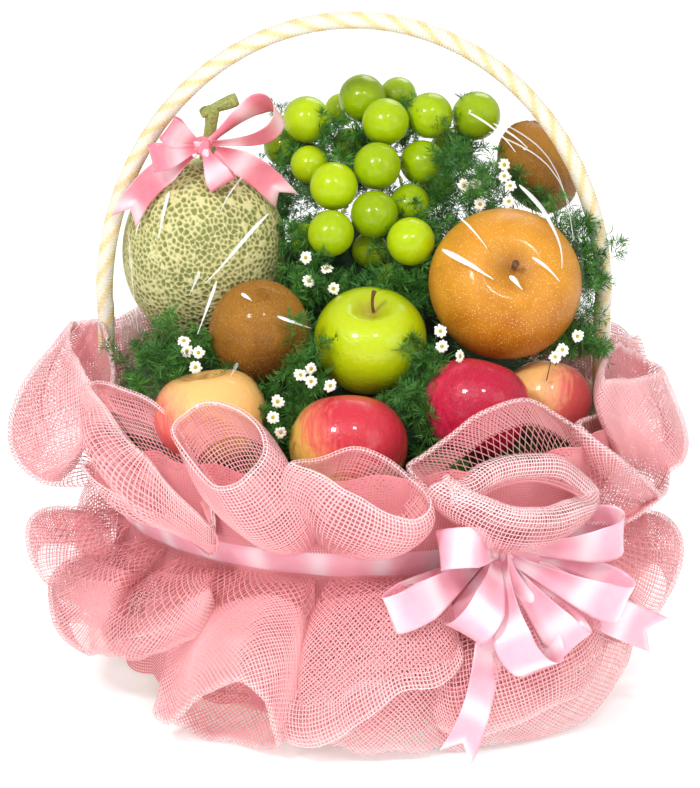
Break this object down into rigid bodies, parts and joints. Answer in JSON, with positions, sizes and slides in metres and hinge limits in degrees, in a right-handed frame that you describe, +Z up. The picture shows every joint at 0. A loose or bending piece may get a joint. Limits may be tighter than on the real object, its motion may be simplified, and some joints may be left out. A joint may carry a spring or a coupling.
{
  "type": "fruit gift basket",
  "caption": "Tall-handled round basket of whole fruit and fern under clear film, wrapped in gathered net and tied with satin bows.",
  "frame": {"origin": "middle of the whole outline at its base", "axes": "+Z up, the front with the large bow faces -Y, +X to the viewer's right"},
  "size_m": [0.4638, 0.4456, 0.4727],
  "materials": {
    "basket": "plain woven fibre, matte",
    "handle": "ivory strand wrapped slantwise, with straw-coloured stripes",
    "fern": null,
    "melon": null,
    "melon_stem": "green vine stub (plant)",
    "kiwi": "brown rind with short fuzz (fruit)",
    "russet_pear": "golden russet skin with pale dots (fruit)",
    "stem": "dry brown stem",
    "green_apple": "waxy yellow-green skin (fruit)",
    "red_apple": "waxy red and yellow skin, streaked (fruit)",
    "grape": "wet-looking green skin (fruit)",
    "film": "clear taut film",
    "net": "open pink net",
    "pink_satin": "pale pink satin ribbon",
    "coral_satin": "salmon-pink satin ribbon"
  },
  "bodies": {
    "root": {"apple_crimson": "red_apple", "apple_front": "red_apple", "apple_left": "red_apple", "apple_right": "red_apple", "basket": "basket", "bow_knot": "pink_satin", "bow_loop_centre": "pink_satin", "bow_loop_far_left": "pink_satin", "bow_loop_left": "pink_satin", "bow_loop_lower_right": "pink_satin", "bow_loop_right": "pink_satin", "bow_loop_upper_left": "pink_satin", "bow_loop_upper_right": "pink_satin", "bow_tail_front": "pink_satin", "bow_tail_right": "pink_satin", "fern_bed": "fern", "film": "film", "grape_01": "grape", "grape_02": "grape", "grape_03": "grape", "grape_04": "grape", "grape_05": "grape", "grape_06": "grape", "grape_07": "grape", "grape_08": "grape", "grape_09": "grape", "grape_10": "grape", "grape_11": "grape", "grape_12": "grape", "grape_13": "grape", "grape_14": "grape", "grape_15": "grape", "grape_16": "grape", "grape_17": "grape", "grape_18": "grape", "grape_19": "grape", "grape_20": "grape", "grape_21": "grape", "grape_22": "grape", "green_apple": "green_apple", "green_apple_stem": "stem", "handle": "handle", "kiwi_back": "kiwi", "kiwi_front": "kiwi", "melon": "melon", "melon_bow_fold": "coral_satin", "melon_bow_knot": "coral_satin", "melon_bow_loop_left": "coral_satin", "melon_bow_loop_right": "coral_satin", "melon_bow_loop_upper": "coral_satin", "melon_bow_tail_left": "coral_satin", "melon_bow_tail_right": "coral_satin", "melon_stem": "melon_stem", "net_collar": "net", "net_skirt": "net", "russet_pear": "russet_pear", "russet_pear_stem": "stem", "waist_ribbon": "pink_satin"}
  },
  "joints": []
}
